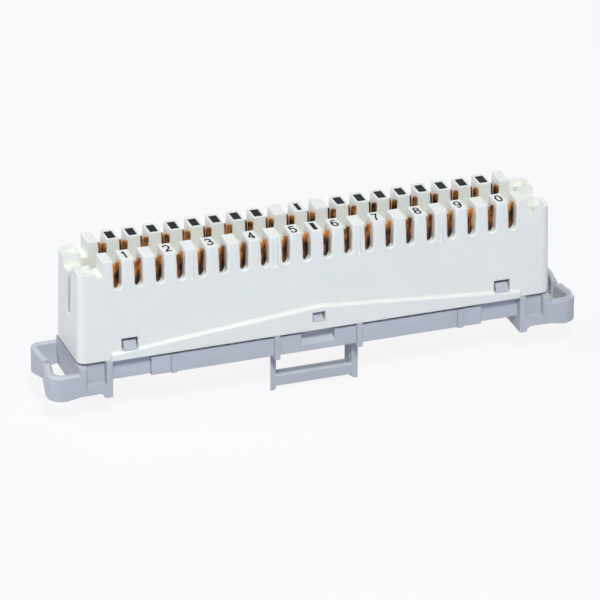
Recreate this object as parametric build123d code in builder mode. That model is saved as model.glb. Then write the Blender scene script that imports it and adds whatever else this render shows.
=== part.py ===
"""Ten-pair connection module for telephone wiring: a white contact housing clipped onto a grey base.

Millimetres. X runs along the module, Y from its front to its rear, and Z up. The origin is the middle of
the base's flat underside.
"""
import os

from build123d import *

# Rows of wire slots
positions = 20
pitch = 4.84
slot_width = 1.7
slot_bottom = 21.9
slot_flare_width = 2.05
slot_flare_height = 4.5
slot_edge_round = 0.5

# Contact housing
tooth_top = 28.6
housing_bottom = 5.15
housing_length = 110.6
housing_depth = 17.0
housing_corner = 2.0
wall_draft = 1.2
channel_width = 5.7
channel_floor = 18.6
end_block_top = 26.2
end_block_floor = 25.2
end_wall_top = 24.0
notch_width = 1.7
half_tooth_width = 1.9
block_end_rim = 1.5
block_side_rim = 1.2
end_slot_width = 2.1
end_slot_centre = -0.85
end_slot_floor = 14.0
end_slot_reach = 1.8
groove_width = 0.85
groove_depth = 0.4
groove_bottom = 21.5
grooved_teeth = (3, 7, 11, 15)

# Gabled panel low on the front and rear faces
panel_length = 96.2
panel_face = 9.3
panel_end_top = 6.95
panel_apex = 11.0
panel_bevel = 0.5

# Latch windows and the latch fingers behind them
outer_window_size = (3.75, 2.75)
outer_window_height = 8.5
middle_window_size = (3.0, 2.55)
middle_window_height = 8.2
outer_latch_teeth = (0, 18)
middle_latch_tooth = 9
finger_face = 7.0
finger_thickness = 1.4
finger_width = 3.6
finger_pocket_top = 10.4
finger_pocket_depth = 3.6
finger_clearance = 0.15
nose_side_gap = 0.4
nose_height = 1.9
nose_slope = 1.0
nose_sunk = 0.25

# Contacts
blade_width = 2.7
blade_thickness = 0.5
blade_top = 27.6
blade_bottom = 15.0
front_blade_row = 6.6
rear_blade_row = 4.1
blade_turn = 45
blade_clearance = 0.05
fork_gap = 0.35
fork_bottom = 18.5
fork_mouth_width = 0.7
fork_mouth_depth = 0.6
blade_corner = 0.4
spring_width = 1.2
spring_thickness = 0.4
spring_low = 11.6
spring_knee = 2.2
spring_touch = 0.25
spring_touch_height = 16.0
spring_tip_height = 17.6
spring_bend = 0.9
chamber_width = 1.6
chamber_half_depth = 7.2
chamber_top = 20.2

# Earth contacts in the end slots
earth_width = 1.3
earth_thickness = 0.5
earth_top = 23.6

# Printed marks
print_thickness = 0.05
mark_row = 5.27
mark_width = 1.8
mark_length = 3.4
middle_bar_width = 0.93
unmarked_teeth = (8, 10)
digit_row = 5.3
digit_height = 3.2
digit_width = 1.6
digit_stroke = 0.38

# Base
base_length = 110.4
base_wall_face = 8.6
base_wall_thickness = 2.0
base_floor = 1.6
wall_top_gap = 0.75
cell_rib = 1.2
proud_face = 9.2
thin_rib_start = 32.9
thin_rib_width = 1.3
recess_start = 38.7
recess_face = 7.6
middle_recess_length = 7.8
middle_recess_face = 7.1
middle_recess_sill = 1.5
middle_recess_slope = 1.15
foot_start = 47.75
foot_rib_width = 1.4
foot_width = 1.75
foot_bottom = -3.6
foot_fillet = 1.2
bar_bottom = -2.35
bar_top = -0.2
end_panel_face = 7.6
end_hollow_length = 3.1
tab_start = 53.4
tab_end = 55.3
tab_depth = 1.7
tab_top = 4.2
tab_round = 0.7

# Wire loops at the ends
overall_length = 124.0
hook_face = 9.3
hook_band = 1.9
hook_corner = 3.6
hook_draw = 0.8
hook_edge_round = 0.7
rear_loop_inset = 0.6
rear_loop_face = 9.6
rear_loop_band = 1.4
rear_loop_corner = 2.2
rear_loop_draw = 0.7
rear_loop_edge_round = 0.4
loop_top = 3.0
loop_bottom = -2.9
loop_dip_length = 3.0
loop_slit = 1.4
loop_bend = 5.2
loop_tip_rise = 1.3
loop_tip_length = 7.0

# Bracket under the middle
bracket_leg_inner = 9.0
bracket_leg_width = 1.3
bracket_rib_bottom = -0.8
bracket_front = 6.1
bracket_back = 3.6
bracket_draw = 0.9
bracket_tip = -9.9
bracket_bar_bottom = -8.85
bracket_flare = 2.2
bracket_lip_top = -6.2
bracket_back_top = -6.15
bracket_front_wall = 1.2
bracket_back_wall = 0.4
bracket_lip_round = 0.5

# Values that follow from the ones above
housing_end = housing_length / 2
base_top = housing_bottom - wall_top_gap
last_slot = pitch * (positions - 1) / 2
half_tooth_end = last_slot + pitch / 2 + half_tooth_width / 2
block_start = half_tooth_end + notch_width
latches = (
    (outer_latch_teeth[0], outer_window_height, outer_window_size),
    (middle_latch_tooth, middle_window_height, middle_window_size),
    (outer_latch_teeth[1], outer_window_height, outer_window_size),
)
rows = (("front", -1), ("rear", 1))
blade_rows = {-1: -front_blade_row, 1: rear_blade_row}
sides = (("left", -1), ("right", 1))


def slot_x(number):
    """X of a wire slot, counted from the left."""
    return (number - (positions - 1) / 2) * pitch


def tooth_x(number):
    """X of the tooth to the right of a wire slot."""
    return slot_x(number) + pitch / 2


def box_between(first, second, mode=Mode.ADD):
    """Box between two opposite corners, given in any order."""
    low = [min(pair) for pair in zip(first, second)]
    high = [max(pair) for pair in zip(first, second)]
    with Locations((low[0], low[1], low[2])):
        Box(high[0] - low[0], high[1] - low[1], high[2] - low[2], mode=mode,
            align=(Align.MIN, Align.MIN, Align.MIN))


# One solid moulding: drafted block, rows of teeth, gabled panels and the chambers for the contacts
with BuildPart() as contact_housing:
    with BuildSketch(Plane.XY.offset(housing_bottom)):
        RectangleRounded(housing_length, housing_depth, housing_corner)
    extrude(amount=tooth_top - housing_bottom, taper=wall_draft)

    # Wire slots cut through both rows, rounded at the bottom and flared at the top
    with BuildSketch(Plane.XZ):
        with Locations([(slot_x(number), slot_bottom + slot_width / 2) for number in range(positions)]):
            Circle(slot_width / 2)
        with Locations([(slot_x(number), 0) for number in range(positions)]):
            Polygon(
                (-slot_width / 2, slot_bottom + slot_width / 2),
                (slot_width / 2, slot_bottom + slot_width / 2),
                (slot_width / 2, tooth_top - slot_flare_height),
                (slot_flare_width / 2, tooth_top),
                (slot_flare_width / 2, tooth_top + 1),
                (-slot_flare_width / 2, tooth_top + 1),
                (-slot_flare_width / 2, tooth_top),
                (-slot_width / 2, tooth_top - slot_flare_height),
                align=None,
            )
    extrude(amount=housing_depth, both=True, mode=Mode.SUBTRACT)

    # Slot mouths blend softly into the front and rear faces
    mouth_edges = []
    for edge in contact_housing.edges():
        middle = edge.center()
        from_slot = min(abs(middle.X - slot_x(number)) for number in range(positions))
        if abs(middle.Y) > housing_depth / 2 - 0.6 and from_slot < slot_flare_width / 2 and \
                slot_bottom - 0.1 < middle.Z < tooth_top - 0.05:
            mouth_edges.append(edge)
    fillet(mouth_edges, slot_edge_round)

    # Channel between the rows, up to the lower wall at each end
    box_between((-block_start, -channel_width / 2, channel_floor),
                (block_start, channel_width / 2, tooth_top + 1), mode=Mode.SUBTRACT)
    for side_name, side in sides:
        box_between((side * block_start, -channel_width / 2, end_wall_top),
                    (side * housing_length, channel_width / 2, tooth_top + 1), mode=Mode.SUBTRACT)
        box_between((side * (housing_end - end_slot_reach), end_slot_centre - end_slot_width / 2,
                     end_slot_floor),
                    (side * housing_length, end_slot_centre + end_slot_width / 2, tooth_top + 1),
                    mode=Mode.SUBTRACT)

    # End blocks stand lower than the teeth, recessed on top and notched beside the last half tooth
    for side_name, side in sides:
        box_between((side * half_tooth_end, -housing_depth, end_block_top),
                    (side * housing_length, housing_depth, tooth_top + 1), mode=Mode.SUBTRACT)
        box_between((side * half_tooth_end, -housing_depth, end_block_floor),
                    (side * block_start, housing_depth, tooth_top + 1), mode=Mode.SUBTRACT)
        for row_name, row in rows:
            box_between((side * half_tooth_end, row * (channel_width / 2 + block_side_rim - 0.2),
                         end_block_floor),
                        (side * (housing_end - block_end_rim),
                         row * (housing_depth / 2 - 0.4 - block_side_rim), tooth_top + 1),
                        mode=Mode.SUBTRACT)

    # Gabled panels stand proud of both faces
    with BuildSketch(Plane.XZ):
        Polygon(
            (-panel_length / 2, housing_bottom),
            (panel_length / 2, housing_bottom),
            (panel_length / 2, panel_end_top),
            (0, panel_apex),
            (-panel_length / 2, panel_end_top),
            align=None,
        )
    extrude(amount=panel_face, both=True)
    chamfer(
        contact_housing.edges().filter_by(
            lambda edge: abs(abs(edge.center().Y) - panel_face) < 0.01
            and edge.center().Z > housing_bottom + 0.1
        ),
        panel_bevel,
    )

    # Shallow grooves down the front face of every fourth tooth
    for number in grooved_teeth:
        box_between((tooth_x(number) - groove_width / 2, -housing_depth, groove_bottom),
                    (tooth_x(number) + groove_width / 2, -(housing_depth / 2 - 0.35 - groove_depth),
                     tooth_top + 1), mode=Mode.SUBTRACT)

    # A narrow chamber for each pair of contacts, open below and into the channel above
    for number in range(positions):
        box_between((slot_x(number) - chamber_width / 2, -chamber_half_depth, housing_bottom),
                    (slot_x(number) + chamber_width / 2, chamber_half_depth, chamber_top),
                    mode=Mode.SUBTRACT)

    # Turned pockets that hold the fork blades in the teeth
    pocket_width = blade_width + 2 * blade_clearance
    for row_name, row in rows:
        with BuildSketch(Plane.XY.offset(blade_bottom - blade_clearance)):
            with Locations([(slot_x(number), blade_rows[row]) for number in range(positions)]):
                Rectangle(pocket_width, blade_thickness, rotation=-row * blade_turn)
        extrude(amount=blade_top + blade_clearance - blade_bottom + blade_clearance,
                mode=Mode.SUBTRACT)

    # Latch windows, and the pockets behind them for the fingers
    for number, window_height, window_size in latches:
        for row_name, row in rows:
            box_between((tooth_x(number) - finger_width / 2 - finger_clearance,
                         row * (finger_face - finger_pocket_depth), housing_bottom),
                        (tooth_x(number) + finger_width / 2 + finger_clearance,
                         row * (finger_face + finger_clearance), finger_pocket_top),
                        mode=Mode.SUBTRACT)
            box_between((tooth_x(number) - window_size[0] / 2, row * finger_face,
                         window_height - window_size[1] / 2),
                        (tooth_x(number) + window_size[0] / 2, row * (panel_face + 1),
                         window_height + window_size[1] / 2), mode=Mode.SUBTRACT)


def wire_loop(side, row, reach, face, band, corner, draw_in, edge_round):
    """Half of a wire loop: a band from the base's end round the corner to the slit, its top rounded."""
    with BuildPart() as loop:
        with BuildSketch(Plane.XY.offset(loop_bottom)):
            with BuildLine():
                FilletPolyline(
                    (side * (tab_start + 0.5), row * (face - band / 2)),
                    (side * (reach - band / 2), row * (face - band / 2)),
                    (side * (reach - band / 2), row * loop_bend),
                    (side * (reach - band / 2 - draw_in), row * loop_slit / 2),
                    radius=corner - band / 2,
                )
            trace(line_width=band)
        extrude(amount=loop_top - loop_bottom)
        with BuildSketch(Plane.YZ.offset(side * reach)):
            Polygon(
                (row * loop_tip_length, loop_bottom - 1),
                (row * loop_tip_length, loop_bottom),
                (row * loop_slit / 2, loop_bottom + loop_tip_rise),
                (0, loop_bottom + loop_tip_rise),
                (0, loop_bottom - 1),
                align=None,
            )
        extrude(amount=band * 3, both=True, mode=Mode.SUBTRACT)
        fillet(loop.faces().sort_by(Axis.Z)[-1].edges(), edge_round)
        with BuildSketch(Plane.XZ):
            Polygon(
                (side * tab_start, loop_bottom - 1),
                (side * tab_start, bar_bottom),
                (side * tab_end, bar_bottom),
                (side * (tab_end + loop_dip_length), loop_bottom),
                (side * (tab_end + loop_dip_length), loop_bottom - 1),
                align=None,
            )
        extrude(amount=face + 1, both=True, mode=Mode.SUBTRACT)
    return loop.part


# Wire loops: a front hook and a slimmer rear band at each end, with a slit between their tips
wire_loops = []
for side_name, side in sides:
    wire_loops.append(wire_loop(side, -1, overall_length / 2, hook_face, hook_band, hook_corner,
                                hook_draw, hook_edge_round))
    wire_loops.append(wire_loop(side, 1, overall_length / 2 - rear_loop_inset, rear_loop_face,
                                rear_loop_band, rear_loop_corner, rear_loop_draw, rear_loop_edge_round))

# One solid moulding: tray with ribs, latch fingers, feet, wire loops and the bracket
with BuildPart() as base:
    box_between((-base_length / 2, -base_wall_face, 0), (base_length / 2, base_wall_face, base_top))
    hollow_half = last_slot + (pitch - cell_rib) / 2
    inner_face = base_wall_face - base_wall_thickness
    box_between((-hollow_half, -inner_face, base_floor), (hollow_half, inner_face, base_top),
                mode=Mode.SUBTRACT)
    for number in range(positions - 1):
        box_between((tooth_x(number) - cell_rib / 2, -inner_face, base_floor),
                    (tooth_x(number) + cell_rib / 2, inner_face, housing_bottom))

    # Front and rear walls: recesses and ribs on each side of the middle
    for row_name, row in rows:
        with BuildSketch(Plane.YZ):
            Polygon(
                (row * (base_wall_face + 1), middle_recess_sill),
                (row * base_wall_face, middle_recess_sill),
                (row * middle_recess_face, middle_recess_sill + middle_recess_slope),
                (row * middle_recess_face, base_top + 1),
                (row * (base_wall_face + 1), base_top + 1),
                align=None,
            )
        extrude(amount=middle_recess_length / 2, both=True, mode=Mode.SUBTRACT)
        for side_name, side in sides:
            box_between((side * recess_start, row * recess_face, 0),
                        (side * foot_start, row * (base_wall_face + 1), base_top), mode=Mode.SUBTRACT)
            box_between((side * thin_rib_start, 0, 0),
                        (side * (thin_rib_start + thin_rib_width), row * proud_face, base_floor))
            box_between((side * thin_rib_start, row * inner_face, 0),
                        (side * (thin_rib_start + thin_rib_width), row * proud_face, base_top))
            box_between((side * bracket_leg_inner, row * inner_face, bracket_rib_bottom),
                        (side * (bracket_leg_inner + bracket_leg_width), row * proud_face,
                         housing_bottom))
            box_between((side * (foot_start + foot_rib_width), row * end_panel_face, 0),
                        (side * tab_start, row * (base_wall_face + 1), base_top), mode=Mode.SUBTRACT)

    # Feet across the ends, joined by a fillet to the bars beside them
    for side_name, side in sides:
        box_between((side * foot_start, -proud_face, foot_bottom + 1),
                    (side * (foot_start + foot_rib_width), proud_face, housing_bottom))
        with BuildSketch(Plane.XZ):
            with BuildLine():
                FilletPolyline(
                    (side * foot_start, 0),
                    (side * foot_start, foot_bottom),
                    (side * (foot_start + foot_width), foot_bottom),
                    (side * (foot_start + foot_width), bar_bottom),
                    (side * base_length / 2, bar_bottom),
                    (side * base_length / 2, bar_top),
                    (side * (foot_start + foot_rib_width), bar_top),
                    (side * (foot_start + foot_rib_width), 0),
                    radius=(0, 0.3, 0.3, foot_fillet, 0, 0, 0, 0),
                    close=True,
                )
            make_face()
        extrude(amount=proud_face, both=True)
        box_between((side * (foot_start + foot_rib_width), -end_panel_face, bar_bottom + foot_fillet),
                    (side * base_length / 2, end_panel_face, base_top))
        box_between((side * (foot_start + foot_width + 1), -inner_face, bar_bottom),
                    (side * (foot_start + foot_width + 1 + end_hollow_length), inner_face, 0),
                    mode=Mode.SUBTRACT)
        box_between((side * tab_start, -(proud_face - tab_depth), bar_bottom),
                    (side * tab_end, -proud_face, tab_top))
        fillet(
            base.edges().filter_by(Axis.Z).filter_by(
                lambda edge: abs(abs(edge.center().X) - tab_start) < 0.01
                and abs(edge.center().Y + proud_face) < 0.01
                and edge.center().X * side > 0
            ),
            tab_round,
        )

    # Latch fingers with noses that rest on the lower edge of their windows
    for number, window_height, window_size in latches:
        nose_bottom = window_height - window_size[1] / 2
        for row_name, row in rows:
            box_between((tooth_x(number) - finger_width / 2, row * (finger_face - finger_thickness), 0),
                        (tooth_x(number) + finger_width / 2, row * finger_face,
                         nose_bottom + nose_height))
            with BuildSketch(Plane.YZ.offset(tooth_x(number))):
                Polygon(
                    (row * (finger_face - 0.5), nose_bottom),
                    (row * (panel_face - nose_sunk), nose_bottom),
                    (row * (panel_face - nose_sunk - nose_slope), nose_bottom + nose_height),
                    (row * (finger_face - 0.5), nose_bottom + nose_height),
                    align=None,
                )
            extrude(amount=window_size[0] / 2 - nose_side_gap, both=True)

    # Bracket under the front half: two legs that draw in towards the rear, and a trough between them
    for side_name, side in sides:
        with BuildSketch(Plane.XY):
            Polygon(
                (side * (bracket_leg_inner + bracket_leg_width), -bracket_front),
                (side * bracket_leg_inner, -bracket_front),
                (side * (bracket_leg_inner - bracket_draw), -bracket_back),
                (side * (bracket_leg_inner + bracket_leg_width - bracket_draw), -bracket_back),
                align=None,
            )
        extrude(amount=bracket_tip)
    box_between((-bracket_leg_inner - 0.5, -bracket_front, bracket_bar_bottom),
                (bracket_leg_inner + 0.5, -bracket_front + bracket_front_wall, bracket_lip_top))
    fillet(
        base.edges().filter_by(Axis.X).filter_by(
            lambda edge: abs(edge.center().Z - bracket_lip_top) < 0.01
            and abs(edge.center().Y + bracket_front) < 1.3
        ),
        bracket_lip_round,
    )
    box_between((-bracket_leg_inner, -bracket_front + bracket_front_wall / 2, bracket_bar_bottom),
                (bracket_leg_inner, -bracket_back, bracket_bar_bottom + bracket_back_wall))
    box_between((-bracket_leg_inner, -bracket_back - bracket_back_wall, bracket_bar_bottom),
                (bracket_leg_inner, -bracket_back, bracket_back_top))
    with BuildSketch(Plane.XZ):
        tip_x = bracket_leg_inner + bracket_leg_width / 2
        Polygon(
            (-tip_x, bracket_tip),
            (-(tip_x - bracket_flare), bracket_bar_bottom),
            (tip_x - bracket_flare, bracket_bar_bottom),
            (tip_x, bracket_tip),
            (tip_x, bracket_tip - 1),
            (-tip_x, bracket_tip - 1),
            align=None,
        )
    extrude(amount=bracket_front + 1, mode=Mode.SUBTRACT)

    for loop in wire_loops:
        add(loop)

os.makedirs("parts", exist_ok=True)

contact_housing.part.label = "contact_housing"
export_step(contact_housing.part, "parts/contact_housing.step")

base.part.label = "base"
export_step(base.part, "parts/base.step")


def export_contact(name, number, row):
    """Slotted fork blade turned across the wire slot, with a spring strip that bends under the channel."""
    with BuildPart() as contact:
        blade_plane = Plane(
            origin=(slot_x(number), blade_rows[row], 0),
            x_dir=(1, -row, 0),
            z_dir=(-row, -1, 0),
        )
        with BuildSketch(blade_plane):
            with BuildLine():
                FilletPolyline(
                    (-blade_width / 2, blade_bottom),
                    (blade_width / 2, blade_bottom),
                    (blade_width / 2, blade_top),
                    (fork_mouth_width / 2, blade_top),
                    (fork_gap / 2, blade_top - fork_mouth_depth),
                    (fork_gap / 2, fork_bottom),
                    (-fork_gap / 2, fork_bottom),
                    (-fork_gap / 2, blade_top - fork_mouth_depth),
                    (-fork_mouth_width / 2, blade_top),
                    (-blade_width / 2, blade_top),
                    radius=(0, 0, blade_corner, 0.2, 0, 0, 0, 0, 0.2, blade_corner),
                    close=True,
                )
            make_face()
        extrude(amount=blade_thickness / 2, both=True)
        with BuildSketch(Plane.YZ.offset(slot_x(number))):
            with BuildLine():
                FilletPolyline(
                    (blade_rows[row], blade_bottom + 0.5),
                    (blade_rows[row], spring_low),
                    (row * spring_knee, spring_low),
                    (row * spring_touch, spring_touch_height),
                    (row * (spring_touch + 0.8), spring_tip_height),
                    radius=spring_bend,
                )
            trace(line_width=spring_thickness)
        extrude(amount=spring_width / 2, both=True)
    contact.part.label = name
    export_step(contact.part, f"parts/{name}.step")


for row_name, row in rows:
    for number in range(positions):
        export_contact(f"{row_name}_contact_{number + 1:02d}", number, row)

# Flat earth contacts stand against the front side of the end slots
for side_name, side in sides:
    with BuildPart() as earth_contact:
        slot_side = end_slot_centre - end_slot_width / 2
        with BuildSketch(Plane.XZ.offset(-slot_side)):
            with Locations((side * (housing_end - end_slot_reach + earth_width / 2),
                            (end_slot_floor + earth_top) / 2)):
                RectangleRounded(earth_width, earth_top - end_slot_floor, 0.3)
        extrude(amount=-earth_thickness)
    earth_contact.part.label = f"{side_name}_earth_contact"
    export_step(earth_contact.part, f"parts/{side_name}_earth_contact.step")

# Printed bars on the tooth tops: one on each rear tooth, and a narrow one in the middle of both rows
with BuildPart() as row_marks:
    with BuildSketch(Plane.XY.offset(tooth_top)):
        for number in range(positions - 1):
            if number == middle_latch_tooth:
                with Locations((tooth_x(number), -mark_row), (tooth_x(number), mark_row)):
                    Rectangle(middle_bar_width, mark_length)
            elif number not in unmarked_teeth:
                with Locations((tooth_x(number), mark_row)):
                    Rectangle(mark_width, mark_length)
    extrude(amount=print_thickness)
row_marks.part.label = "row_marks"
export_step(row_marks.part, "parts/row_marks.step")

# Position numbers on every other front tooth, drawn as strokes; x and y as shares of half a digit
digit_lines = {
    "1": [[(-0.6, 0.55), (0.15, 1.0)], [(0.15, 1.1), (0.15, -1.1)]],
    "2": [[(-0.95, 0.5), (-0.55, 0.93), (0.1, 1.0), (0.85, 0.55), (0.5, -0.15), (-0.95, -1.0)],
          [(-1.1, -1.0), (1.1, -1.0)]],
    "3": [[(-0.9, 0.6), (-0.3, 1.0), (0.5, 0.9), (0.8, 0.5), (0.35, 0.1), (-0.3, 0.07)],
          [(-0.3, 0.07), (0.5, 0.02), (1.0, -0.48), (0.5, -0.92), (-0.25, -1.0), (-1.0, -0.62)]],
    "4": [[(0.45, 1.1), (0.45, -1.1)], [(0.45, 1.0), (-1.0, -0.45)], [(-1.2, -0.45), (1.2, -0.45)]],
    "5": [[(-0.75, 1.0), (1.0, 1.0)], [(-0.7, 1.12), (-0.8, 0.0)],
          [(-0.8, 0.05), (0.1, 0.3), (1.0, -0.3), (0.3, -0.98), (-0.5, -0.97), (-1.0, -0.6)]],
    "6": [[(0.85, 0.8), (0.1, 1.0), (-0.8, 0.5), (-1.0, -0.35)]],
    "7": [[(-1.1, 1.0), (1.1, 1.0)], [(0.95, 1.0), (0.0, 0.0), (-0.35, -1.12)]],
    "8": [],
    "9": [[(-0.85, -0.8), (-0.1, -1.0), (0.8, -0.5), (1.0, 0.35)]],
    "0": [],
}
digit_rings = {
    "6": [(-0.4, 1.0, 0.6)],
    "8": [(0.5, 0.85, 0.5), (-0.48, 1.0, 0.52)],
    "9": [(0.4, 1.0, 0.6)],
    "0": [(0.0, 1.0, 1.0)],
}
half_width = (digit_width - digit_stroke) / 2
half_height = (digit_height - digit_stroke) / 2
numbered_teeth = [(str((place + 1) % 10), 2 * place) for place in range(10)]
with BuildPart() as front_numbers:
    with BuildSketch(Plane.XY.offset(tooth_top)) as digits:
        for digit, number in numbered_teeth:
            centre = (tooth_x(number), -digit_row)
            for points in digit_lines[digit]:
                placed = [(centre[0] + x * half_width, centre[1] + y * half_height) for x, y in points]
                with BuildLine():
                    if len(placed) == 2:
                        Line(*placed)
                    else:
                        Spline(*placed)
                trace(line_width=digit_stroke)
            for middle, across, tall in digit_rings.get(digit, ()):
                with Locations((centre[0], centre[1] + middle * half_height)):
                    Ellipse(across * half_width + digit_stroke / 2, tall * half_height + digit_stroke / 2)
                    Ellipse(across * half_width - digit_stroke / 2, tall * half_height - digit_stroke / 2,
                            mode=Mode.SUBTRACT)
    extrude(amount=print_thickness)
front_numbers.part.label = "front_numbers"
export_step(front_numbers.part, "parts/front_numbers.step")
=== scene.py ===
"""Dresses the ten-pair connection module and sets it in a plain studio."""
import logging
import math
from dataclasses import dataclass
from enum import Enum
from typing import Sequence

import bmesh
import bpy
from mathutils import Matrix, Vector

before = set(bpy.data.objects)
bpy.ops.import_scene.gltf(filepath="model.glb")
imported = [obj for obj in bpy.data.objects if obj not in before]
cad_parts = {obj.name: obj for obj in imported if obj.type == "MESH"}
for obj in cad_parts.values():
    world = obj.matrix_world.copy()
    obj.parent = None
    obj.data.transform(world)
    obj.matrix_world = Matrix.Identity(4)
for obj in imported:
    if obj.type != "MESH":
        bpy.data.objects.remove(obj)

LOG = logging.getLogger("connection_module")
MM = 0.001
WHITE = (1.0, 1.0, 1.0, 1.0)
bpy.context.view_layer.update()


class Side(Enum):
    """The two ends of the module."""

    LEFT = -1
    RIGHT = 1


class Row(Enum):
    """The two rows of wire slots."""

    FRONT = "front"
    REAR = "rear"


def linear(hex_colour: str) -> tuple[float, float, float, float]:
    """Turn an sRGB hex colour into linear RGBA.

    Args:
        hex_colour: Six hex digits, such as "F4F2EC".

    Returns:
        The linear colour with full alpha.
    """
    parts = [int(hex_colour[i:i + 2], 16) / 255 for i in (0, 2, 4)]
    values = [p / 12.92 if p <= 0.04045 else ((p + 0.055) / 1.055) ** 2.4 for p in parts]
    return (values[0], values[1], values[2], 1.0)


def add_node(tree: bpy.types.NodeTree, kind: str, settings: dict | None = None,
             inputs: dict | None = None) -> bpy.types.Node:
    """Add one shader node, set it up and link it.

    Args:
        tree: The node tree that gets the node.
        kind: The node's type name.
        settings: Attributes of the node and their values.
        inputs: Input names or numbers, each with a value or an output socket to link.

    Returns:
        The new node.
    """
    node = tree.nodes.new(kind)
    for name, value in (settings or {}).items():
        setattr(node, name, value)
    for name, value in (inputs or {}).items():
        if isinstance(value, bpy.types.NodeSocket):
            tree.links.new(value, node.inputs[name])
        else:
            node.inputs[name].default_value = value
    return node


def colour_ramp(node: bpy.types.Node, stops: Sequence[tuple[float, str]]) -> None:
    """Give a Color Ramp node its stops.

    Args:
        node: The Color Ramp node.
        stops: Positions from 0 to 1, each with an sRGB hex colour.
    """
    ramp = node.color_ramp
    while len(ramp.elements) < len(stops):
        ramp.elements.new(1.0)
    for element, (position, colour) in zip(ramp.elements, stops):
        element.position = position
        element.color = linear(colour)


@dataclass(frozen=True)
class MouldedPlastic:
    """Injection-moulded polyester: an even fine matt skin with soft edges and faint mottling."""

    name: str
    light: str
    dark: str
    roughness: float
    glow: float
    glow_depth: float = 1.2 * MM
    edge_radius: float = 0.22 * MM
    mottle_size: float = 9.0 * MM
    # The real spark-eroded grain is about 0.05 mm; it is drawn at 0.45 mm so that it shows
    grain_size: float = 0.45 * MM
    grain_depth: float = 0.02 * MM

    def material(self) -> bpy.types.Material:
        """Build the plastic as a material."""
        made = bpy.data.materials.new(self.name)
        made.use_nodes = True
        tree = made.node_tree
        tree.nodes.clear()
        place = add_node(tree, "ShaderNodeTexCoord").outputs["Object"]
        mottle = add_node(tree, "ShaderNodeTexNoise", inputs={
            "Vector": place, "Scale": 1 / self.mottle_size, "Detail": 4.0, "Roughness": 0.55})
        tint = add_node(tree, "ShaderNodeValToRGB", inputs={"Fac": mottle.outputs["Fac"]})
        colour_ramp(tint, ((0.3, self.dark), (0.7, self.light)))
        grain = add_node(tree, "ShaderNodeTexNoise", inputs={
            "Vector": place, "Scale": 1 / self.grain_size, "Detail": 2.0, "Roughness": 0.6})
        sheen = add_node(tree, "ShaderNodeMapRange", inputs={
            "Value": grain.outputs["Fac"], "From Min": 0.3, "From Max": 0.7,
            "To Min": self.roughness - 0.05, "To Max": self.roughness + 0.06})
        edge = add_node(tree, "ShaderNodeBevel", {"samples": 6}, {"Radius": self.edge_radius})
        bump = add_node(tree, "ShaderNodeBump", inputs={
            "Height": grain.outputs["Fac"], "Strength": 0.12, "Distance": self.grain_depth,
            "Normal": edge.outputs["Normal"]})
        skin = add_node(tree, "ShaderNodeBsdfPrincipled", inputs={
            "Base Color": tint.outputs["Color"], "Roughness": sheen.outputs["Result"],
            "Normal": bump.outputs["Normal"], "IOR": 1.5, "Specular IOR Level": 0.45,
            "Subsurface Weight": self.glow, "Subsurface Radius": (1.0, 0.7, 0.55),
            "Subsurface Scale": self.glow_depth})
        add_node(tree, "ShaderNodeOutputMaterial", inputs={"Surface": skin.outputs["BSDF"]})
        return made


@dataclass(frozen=True)
class StampedCopperAlloy:
    """Stamped tin-brass strip, browned in blotches, with painted light towards the heads and painted
    shade lower down the strip.
    """

    name: str = "stamped_tin_brass"
    bright: str = "E5A65C"
    middle: str = "9A602C"
    brown: str = "3E220E"
    roughness: float = 0.34
    blotch_size: float = 2.4 * MM
    grain_width: float = 0.16 * MM
    grain_depth: float = 0.02 * MM
    # Heights and tone shifts of the painted shade low on the strip and the painted light at its heads
    painted_shade_height: float = 21.5 * MM
    painted_light_height: float = 27.6 * MM
    painted_shade_shift: float = -0.2
    painted_light_shift: float = 0.1
    edge_radius: float = 0.08 * MM

    def material(self) -> bpy.types.Material:
        """Build the strip metal as a material."""
        made = bpy.data.materials.new(self.name)
        made.use_nodes = True
        tree = made.node_tree
        tree.nodes.clear()
        place = add_node(tree, "ShaderNodeTexCoord").outputs["Object"]
        blotch = add_node(tree, "ShaderNodeTexNoise", inputs={
            "Vector": place, "Scale": 1 / self.blotch_size, "Detail": 2.0, "Roughness": 0.5})
        height = add_node(tree, "ShaderNodeSeparateXYZ", inputs={"Vector": place})
        # Painted light and shade: the tone is lifted towards the heads and lowered further down, where
        # the slots shade the strip
        painted_light_by_height = add_node(tree, "ShaderNodeMapRange", inputs={
            "Value": height.outputs["Z"], "From Min": self.painted_shade_height,
            "From Max": self.painted_light_height, "To Min": self.painted_shade_shift, "To Max": self.painted_light_shift})
        shade = add_node(tree, "ShaderNodeMath", {"operation": "ADD"}, {
            0: blotch.outputs["Fac"], 1: painted_light_by_height.outputs["Result"]})
        tint = add_node(tree, "ShaderNodeValToRGB", inputs={"Fac": shade.outputs[0]})
        colour_ramp(tint, ((0.32, self.brown), (0.5, self.middle), (0.66, self.bright)))
        # Drawing marks run up the strip, so the pattern is stretched along Z
        along = add_node(tree, "ShaderNodeMapping", inputs={"Vector": place, "Scale": (1.0, 1.0, 0.08)})
        marks = add_node(tree, "ShaderNodeTexNoise", inputs={
            "Vector": along.outputs["Vector"], "Scale": 1 / self.grain_width, "Detail": 1.0})
        sheen = add_node(tree, "ShaderNodeMapRange", inputs={
            "Value": marks.outputs["Fac"], "From Min": 0.3, "From Max": 0.7,
            "To Min": self.roughness - 0.08, "To Max": self.roughness + 0.12})
        edge = add_node(tree, "ShaderNodeBevel", {"samples": 6}, {"Radius": self.edge_radius})
        bump = add_node(tree, "ShaderNodeBump", inputs={
            "Height": marks.outputs["Fac"], "Strength": 0.25, "Distance": self.grain_depth,
            "Normal": edge.outputs["Normal"]})
        skin = add_node(tree, "ShaderNodeBsdfPrincipled", inputs={
            "Base Color": tint.outputs["Color"], "Metallic": 1.0,
            "Roughness": sheen.outputs["Result"], "Normal": bump.outputs["Normal"]})
        add_node(tree, "ShaderNodeOutputMaterial", inputs={"Surface": skin.outputs["BSDF"]})
        return made


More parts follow.
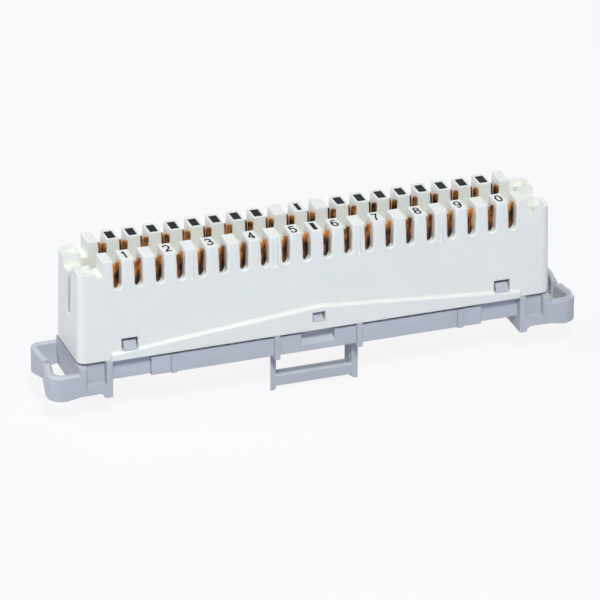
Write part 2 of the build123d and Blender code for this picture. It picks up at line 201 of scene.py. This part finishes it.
@dataclass(frozen=True)
class PadPrintedInk:
    """Black pad-printing ink: a thin satin film, slightly uneven where the pad lifted."""

    name: str = "pad_printed_ink"
    film: str = "060608"
    thin_film: str = "0E0E11"
    patch_size: float = 1.1 * MM

    def material(self) -> bpy.types.Material:
        """Build the ink as a material."""
        made = bpy.data.materials.new(self.name)
        made.use_nodes = True
        tree = made.node_tree
        tree.nodes.clear()
        place = add_node(tree, "ShaderNodeTexCoord").outputs["Object"]
        patch = add_node(tree, "ShaderNodeTexNoise", inputs={
            "Vector": place, "Scale": 1 / self.patch_size, "Detail": 3.0})
        tint = add_node(tree, "ShaderNodeValToRGB", inputs={"Fac": patch.outputs["Fac"]})
        colour_ramp(tint, ((0.4, self.film), (0.7, self.thin_film)))
        sheen = add_node(tree, "ShaderNodeMapRange", inputs={
            "Value": patch.outputs["Fac"], "To Min": 0.5, "To Max": 0.7})
        skin = add_node(tree, "ShaderNodeBsdfPrincipled", inputs={
            "Base Color": tint.outputs["Color"], "Roughness": sheen.outputs["Result"], "IOR": 1.5,
            "Specular IOR Level": 0.15})
        add_node(tree, "ShaderNodeOutputMaterial", inputs={"Surface": skin.outputs["BSDF"]})
        return made


def dress(node: str, material: bpy.types.Material) -> None:
    """Give a CAD node's object one material.

    Args:
        node: The node's name.
        material: The material for all its slots.
    """
    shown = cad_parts[node]
    if not shown.material_slots:
        shown.data.materials.append(material)
    for place in shown.material_slots:
        place.material = material
    LOG.info("%s wears %s", node, material.name)


@dataclass
class Module:
    """The whole module: housing, base, contacts and print."""

    positions: int = 20
    housing: MouldedPlastic = MouldedPlastic(
        "white_moulded_pbt", light="F0EEE1", dark="EDEBDD", roughness=0.42, glow=0.3)
    base: MouldedPlastic = MouldedPlastic(
        "grey_moulded_pbt", light="C0C1C1", dark="B9BABA", roughness=0.46, glow=0.05,
        glow_depth=0.6 * MM)
    strip: StampedCopperAlloy = StampedCopperAlloy()
    ink: PadPrintedInk = PadPrintedInk()

    def build(self) -> None:
        """Dress every CAD node."""
        dress("contact_housing", self.housing.material())
        dress("base", self.base.material())
        metal = self.strip.material()
        for row in Row:
            for number in range(1, self.positions + 1):
                dress(f"{row.value}_contact_{number:02d}", metal)
        for side in Side:
            dress(f"{side.name.lower()}_earth_contact", metal)
        print_film = self.ink.material()
        for node in ("row_marks", "front_numbers"):
            dress(node, print_film)


@dataclass(frozen=True)
class Lamp:
    """One square soft lamp: place and side in millimetres, power in watts, sRGB hex colour."""

    name: str
    place: tuple[float, float, float]
    size: float
    power: float
    colour: str

    def add(self) -> None:
        """Hang the lamp so that it looks at the module."""
        data = bpy.data.lights.new(self.name, "AREA")
        data.shape = "SQUARE"
        data.size = self.size * MM
        data.energy = self.power
        data.color = linear(self.colour)[:3]
        lamp = bpy.data.objects.new(self.name, data)
        lamp.location = Vector(self.place) * MM
        lamp.rotation_mode = "QUATERNION"
        lamp.rotation_quaternion = (-Vector(self.place)).to_track_quat("-Z", "Y")
        bpy.context.collection.objects.link(lamp)


@dataclass
class Studio:
    """Camera, lamps, world and floor."""

    camera_place: tuple[float, float, float] = (-358.245, -1006.742, 536.450)
    azimuth: float = 19.5275
    elevation: float = 26.3114
    roll: float = 0.15520
    lens: float = 322.18
    sensor_width: float = 36.0
    near_clip: float = 50.0
    far_clip: float = 20000.0
    floor_height: float = -9.9
    floor_radius: float = 2600.0
    floor_sides: int = 64
    floor: str = "CECED4"
    floor_white: float = 0.88
    sky: str = "E6ECFF"
    sky_strength: float = 0.02
    lamps: tuple[Lamp, ...] = (
        Lamp("key", (-240.0, -930.0, 1150.0), 320.0, 20.4, "F2FAFF"),
        Lamp("left", (-1200.0, 330.0, 850.0), 450.0, 11.4, "E0E4FF"),
        Lamp("front", (120.0, -1400.0, 400.0), 600.0, 2.2, "4860FF"),
        Lamp("back", (1150.0, 980.0, 240.0), 400.0, 12.0, "E4EAFF"),
    )

    def add_camera(self) -> None:
        """Stand the camera where the photograph was taken from."""
        a, e, r = (math.radians(v) for v in (self.azimuth, self.elevation, self.roll))
        ahead = Vector((math.sin(a) * math.cos(e), math.cos(a) * math.cos(e), -math.sin(e)))
        level = Vector((math.cos(a), -math.sin(a), 0.0))
        above = level.cross(ahead)
        right = level * math.cos(r) + above * math.sin(r)
        up = above * math.cos(r) - level * math.sin(r)
        data = bpy.data.cameras.new("camera")
        data.lens = self.lens
        data.sensor_width = self.sensor_width
        data.clip_start = self.near_clip * MM
        data.clip_end = self.far_clip * MM
        camera = bpy.data.objects.new("camera", data)
        turn = Matrix((right, up, -ahead)).transposed().to_4x4()
        camera.matrix_world = Matrix.Translation(Vector(self.camera_place) * MM) @ turn
        bpy.context.collection.objects.link(camera)
        bpy.context.scene.camera = camera

    @staticmethod
    def add_seen(tree: bpy.types.NodeTree) -> bpy.types.NodeSocket:
        """Add the nodes that tell whether the camera, a reflection or clear material looks on.

        Args:
            tree: The node tree that gets the nodes.

        Returns:
            A socket that is 1 for those rays and 0 for the rays that light the object.
        """
        path = add_node(tree, "ShaderNodeLightPath")
        mirrored = add_node(tree, "ShaderNodeMath", {"operation": "MAXIMUM"}, {
            0: path.outputs["Is Glossy Ray"], 1: path.outputs["Is Transmission Ray"]})
        seen = add_node(tree, "ShaderNodeMath", {"operation": "MAXIMUM"}, {
            0: path.outputs["Is Camera Ray"], 1: mirrored.outputs[0]})
        return seen.outputs[0]

    def add_world(self) -> None:
        """Light faintly from all round, and show white to the camera and in reflections."""
        world = bpy.data.worlds.new("studio")
        bpy.context.scene.world = world
        world.use_nodes = True
        tree = world.node_tree
        tree.nodes.clear()
        lit = add_node(tree, "ShaderNodeBackground", inputs={
            "Color": linear(self.sky), "Strength": self.sky_strength})
        shown = add_node(tree, "ShaderNodeBackground", inputs={
            "Color": WHITE, "Strength": 1.0})
        mixed = add_node(tree, "ShaderNodeMixShader", inputs={
            0: self.add_seen(tree), 1: lit.outputs[0], 2: shown.outputs[0]})
        add_node(tree, "ShaderNodeOutputWorld", inputs={"Surface": mixed.outputs[0]})

    def add_floor(self) -> None:
        """Lay a pale floor under the lowest point, mostly white when seen, with a faint shadow."""
        material = bpy.data.materials.new("studio_floor")
        material.use_nodes = True
        tree = material.node_tree
        tree.nodes.clear()
        board = add_node(tree, "ShaderNodeBsdfDiffuse", inputs={"Color": linear(self.floor)})
        white = add_node(tree, "ShaderNodeEmission", inputs={
            "Color": WHITE, "Strength": 1.0})
        share = add_node(tree, "ShaderNodeMath", {"operation": "MULTIPLY"}, {
            0: self.add_seen(tree), 1: self.floor_white})
        mixed = add_node(tree, "ShaderNodeMixShader", inputs={
            0: share.outputs[0], 1: board.outputs[0], 2: white.outputs[0]})
        add_node(tree, "ShaderNodeOutputMaterial", inputs={"Surface": mixed.outputs[0]})
        shape = bmesh.new()
        bmesh.ops.create_circle(shape, cap_ends=True, segments=self.floor_sides,
                              radius=self.floor_radius * MM)
        bmesh.ops.translate(shape, verts=shape.verts, vec=(0.0, 0.0, self.floor_height * MM))
        mesh = bpy.data.meshes.new("floor")
        shape.to_mesh(mesh)
        shape.free()
        mesh.materials.append(material)
        floor = bpy.data.objects.new("floor", mesh)
        bpy.context.collection.objects.link(floor)

    def build(self) -> None:
        """Set up camera, light and floor."""
        bpy.context.scene.view_settings.view_transform = "Standard"
        self.add_camera()
        self.add_world()
        self.add_floor()
        for lamp in self.lamps:
            lamp.add()
        LOG.info("studio is set")


def main() -> None:
    """Build the scene."""
    logging.basicConfig(level=logging.INFO, format="%(message)s")
    Studio().build()
    Module().build()


if __name__ == "__main__":
    main()
